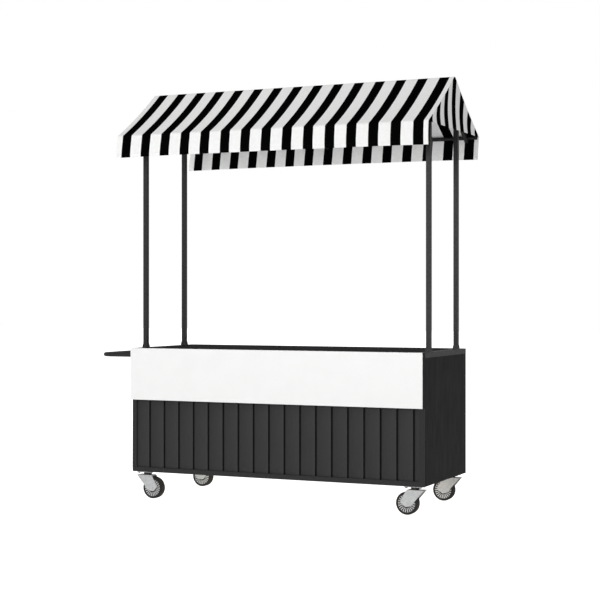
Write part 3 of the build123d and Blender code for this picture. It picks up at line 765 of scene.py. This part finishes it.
def makeHems(finish):
    # the turned-up strip inside the lower edge of both valances
    columns = canopy["stepsAcross"] + 1
    hems = []
    for name, rows, inward in (("front_hem", profile[:3], 1), ("rear_hem", profile[-3:], -1)):
        points, mapPoints = [], []
        for row in rows:
            for c in range(columns):
                x = canopyLeft + (canopyRight - canopyLeft) * c / canopy["stepsAcross"]
                px, py, pz = clothPoint(row, x)
                points.append((px, py + inward * hem["fold"], pz + hem["up"]))
                mapPoints.append((x, row[1]))
        mesh = sheetMesh(name, points, columns, len(rows), mapPoints)
        mesh = thickened(mesh, canopy["thickness"], name + "Work")
        hems.append(newPiece(name, mesh, finish, "cart"))
    return hems


hems = makeHems(roofCanvas)


gable = dict(columns=72, rows=20, inset=1.2 * mm, billow=8 * mm, topCalm=0.3, sideGap=4 * mm, low=2.106,
             least=1 * mm)


def roofUnderside(y):
    # height of the cloth above a place across the cart
    for before, after in zip(profile, profile[1:]):
        if before[0] <= y <= after[0] and after[0] > before[0]:
            t = (y - before[0]) / (after[0] - before[0])
            height = before[1] + (after[1] - before[1]) * t
            along = before[3] + (after[3] - before[3]) * t
            return height, before[2], along
    return ridgeHeight, "arc", 0


def makeGable(name, x, outward, finish):
    columns, rows = gable["columns"] + 1, gable["rows"] + 1
    reach = canopySide - gable["sideGap"]
    points, mapPoints = [], []
    for r in range(rows):
        v = r / gable["rows"]
        for c in range(columns):
            y = -reach + 2 * reach * c / gable["columns"]
            top, kind, t = roofUnderside(y)
            if kind in ("frontSlope", "rearSlope"):
                top -= canopy["sag"] * 4 * t * (1 - t) / math.cos(slopeAngle)
            top -= gable["inset"]
            low = min(gable["low"], top - gable["least"])
            z = low + (top - low) * v
            edge = 1 - (abs(y) / reach) ** 2
            sink = gable["billow"] * edge * math.sin(math.pi * v) * (1 - gable["topCalm"] * v)
            points.append((x - outward * sink, y, z))
            mapPoints.append((y, z))
    mesh = sheetMesh(name, points, columns, rows, mapPoints)
    mesh = thickened(mesh, canopy["thickness"], name + "Work")
    return newPiece(name, mesh, finish, "cart")


gableCanvas = makeCanvasFinish("gableCanvas", stripes["gablePitch"], stripes["gableBlack"], 0.0)
leftGable = makeGable("left_gable", canopyLeft + canopy["thickness"], -1, gableCanvas)
rightGable = makeGable("right_gable", canopyRight - canopy["thickness"], 1, gableCanvas)
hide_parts("gable_panels")
print("canopy hung")


def newPlacer(name, sizes, materialLabel):
    # a geometry node tree with its sizes and its material as named inputs
    tree = bpy.data.node_groups.new(name, "GeometryNodeTree")
    tree.interface.new_socket(name="Geometry", in_out="INPUT", socket_type="NodeSocketGeometry")
    for label, value in sizes.items():
        socket = tree.interface.new_socket(name=label, in_out="INPUT", socket_type="NodeSocketFloat")
        socket.default_value = value
    tree.interface.new_socket(name=materialLabel, in_out="INPUT", socket_type="NodeSocketMaterial")
    tree.interface.new_socket(name="Geometry", in_out="OUTPUT", socket_type="NodeSocketGeometry")
    return tree, tree.nodes.new("NodeGroupInput"), tree.nodes.new("NodeGroupOutput")


def placeCopies(tree, points, shape, material, leave):
    # real copies of one shape on every point, with their material
    place = tree.nodes.new("GeometryNodeInstanceOnPoints")
    real = tree.nodes.new("GeometryNodeRealizeInstances")
    paint = tree.nodes.new("GeometryNodeSetMaterial")
    tree.links.new(points, place.inputs["Points"])
    tree.links.new(shape, place.inputs["Instance"])
    tree.links.new(place.outputs["Instances"], real.inputs[0])
    tree.links.new(real.outputs[0], paint.inputs["Geometry"])
    tree.links.new(material, paint.inputs["Material"])
    tree.links.new(paint.outputs[0], leave.inputs[0])
    return place


def placedMesh(name, tree, points, edges=(), **values):
    mesh = bpy.data.meshes.new(f"{name}Points")
    mesh.from_pydata(points, edges, [])
    helper = helperObject(f"{name}Work", mesh)
    modifier = helper.modifiers.new(name, "NODES")
    modifier.node_group = tree
    sockets = {item.name: item.identifier for item in tree.interface.items_tree if item.in_out == "INPUT"}
    for label, value in values.items():
        modifier[sockets[label]] = value
    return bakedMesh(helper)


stitchSizes = dict(pitch=7 * mm, length=4.6 * mm, radius=0.45 * mm)
stitching = dict(corners=6, fromEnd=4 * mm, proud=0.6 * mm)


def makeStitchTree():
    tree, enter, leave = newPlacer("stitchRow", stitchSizes, "thread")
    toCurve = tree.nodes.new("GeometryNodeMeshToCurve")
    spread = tree.nodes.new("GeometryNodeCurveToPoints")
    spread.mode = "LENGTH"
    stitch = tree.nodes.new("GeometryNodeMeshCylinder")
    stitch.inputs["Vertices"].default_value = stitching["corners"]
    tree.links.new(enter.outputs["Geometry"], toCurve.inputs[0])
    tree.links.new(toCurve.outputs[0], spread.inputs["Curve"])
    tree.links.new(enter.outputs["pitch"], spread.inputs["Length"])
    tree.links.new(enter.outputs["length"], stitch.inputs["Depth"])
    tree.links.new(enter.outputs["radius"], stitch.inputs["Radius"])
    thread = enter.outputs["thread"]
    place = placeCopies(tree, spread.outputs["Points"], stitch.outputs["Mesh"], thread, leave)
    aim = tree.nodes.new("FunctionNodeAlignRotationToVector")
    aim.axis = "Z"
    tree.links.new(spread.outputs["Tangent"], aim.inputs["Vector"])
    tree.links.new(aim.outputs["Rotation"], place.inputs["Rotation"])
    return tree


def hemLine(row, outward):
    steps = canopy["stepsAcross"]
    first = canopyLeft + stitching["fromEnd"]
    length = canopyRight - canopyLeft - 2 * stitching["fromEnd"]
    line = []
    for c in range(steps + 1):
        x, y, z = clothPoint(row, first + length * c / steps)
        line.append((x, y + outward * stitching["proud"], z))
    return line


def makeStitches(lines, material):
    points, edges = [], []
    for line in lines:
        first = len(points)
        points.extend(line)
        edges.extend((i, i + 1) for i in range(first, first + len(line) - 1))
    mesh = placedMesh("stitches", makeStitchTree(), points, edges, thread=material)
    return newPiece("hem_stitches", mesh, material, "cart")


stitches = makeStitches([hemLine(profile[2], -1), hemLine(profile[-3], 1)], makeThreadFinish("canvasThread"))
print("hems stitched")

screwSizes = dict(head=3.9 * mm, top=3.0 * mm, rise=1.1 * mm, slot=0.9 * mm, slotLength=4.0 * mm,
                  slotDepth=0.7 * mm)
smallScrew = dict(head=2.9 * mm, top=2.3 * mm, slotLength=3.0 * mm)
hingePlate = dict(half=40 * mm, thickness=2 * mm, screwInset=9 * mm, doorScrews=(9 * mm, 34 * mm),
                  frameScrew=4 * mm)


def makeScrewTree():
    # one low cross-head screw, set on every point that comes in, facing the rear of the cart
    tree, enter, leave = newPlacer("screwField", screwSizes, "metal")
    head = tree.nodes.new("GeometryNodeMeshCone")
    head.inputs["Vertices"].default_value = 24
    tree.links.new(enter.outputs["head"], head.inputs["Radius Bottom"])
    tree.links.new(enter.outputs["top"], head.inputs["Radius Top"])
    tree.links.new(enter.outputs["rise"], head.inputs["Depth"])
    cut = tree.nodes.new("GeometryNodeMeshBoolean")
    cut.operation = "DIFFERENCE"
    tree.links.new(head.outputs["Mesh"], cut.inputs["Mesh 1"])
    lift = tree.nodes.new("ShaderNodeCombineXYZ")
    tree.links.new(enter.outputs["rise"], lift.inputs["Z"])
    for along, across in (("X", "Y"), ("Y", "X")):
        size = tree.nodes.new("ShaderNodeCombineXYZ")
        tree.links.new(enter.outputs["slotLength"], size.inputs[along])
        tree.links.new(enter.outputs["slot"], size.inputs[across])
        tree.links.new(math2(tree, "MULTIPLY", enter.outputs["slotDepth"], 2.0), size.inputs["Z"])
        bar = tree.nodes.new("GeometryNodeMeshCube")
        tree.links.new(size.outputs[0], bar.inputs["Size"])
        raised = tree.nodes.new("GeometryNodeTransform")
        tree.links.new(bar.outputs["Mesh"], raised.inputs["Geometry"])
        tree.links.new(lift.outputs[0], raised.inputs["Translation"])
        tree.links.new(raised.outputs[0], cut.inputs["Mesh 2"])
    turned = tree.nodes.new("GeometryNodeTransform")
    turned.inputs["Rotation"].default_value = (math.radians(-90), 0, 0)
    tree.links.new(cut.outputs["Mesh"], turned.inputs["Geometry"])
    placeCopies(tree, enter.outputs["Geometry"], turned.outputs[0], enter.outputs["metal"], leave)
    return tree


screwTree = makeScrewTree()
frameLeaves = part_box("frame_hinge_leaves")
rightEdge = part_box("right_door_hinge_leaves")[0][0]
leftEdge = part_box("left_door_hinge_leaves")[1][0]


def platePoints(columns):
    # places near the two ends of the upper and lower hinge plates
    levels = (frameLeaves[0][2] + hingePlate["half"], frameLeaves[1][2] - hingePlate["half"])
    face = frameLeaves[0][1] + hingePlate["thickness"]
    reach = hingePlate["half"] - hingePlate["screwInset"]
    return [(x, face, level + up * reach) for level in levels for up in (-1, 1) for x in columns]


def makeScrews(name, columns, body, **sizes):
    finish = finishes["black_fixing"]
    mesh = placedMesh(name, screwTree, platePoints(columns), metal=finish, **sizes)
    smoothShade(mesh, 30)
    return newPiece(name, mesh, finish, body)


makeScrews("right_door_screws", [rightEdge + d for d in hingePlate["doorScrews"]], "right_door")
makeScrews("left_door_screws", [leftEdge - d for d in hingePlate["doorScrews"]], "left_door")
frameColumns = [frameLeaves[0][0] + hingePlate["frameScrew"], frameLeaves[1][0] - hingePlate["frameScrew"]]
makeScrews("frame_leaf_screws", frameColumns, "cart", **smallScrew)
print("screws driven")

print("pieces done")
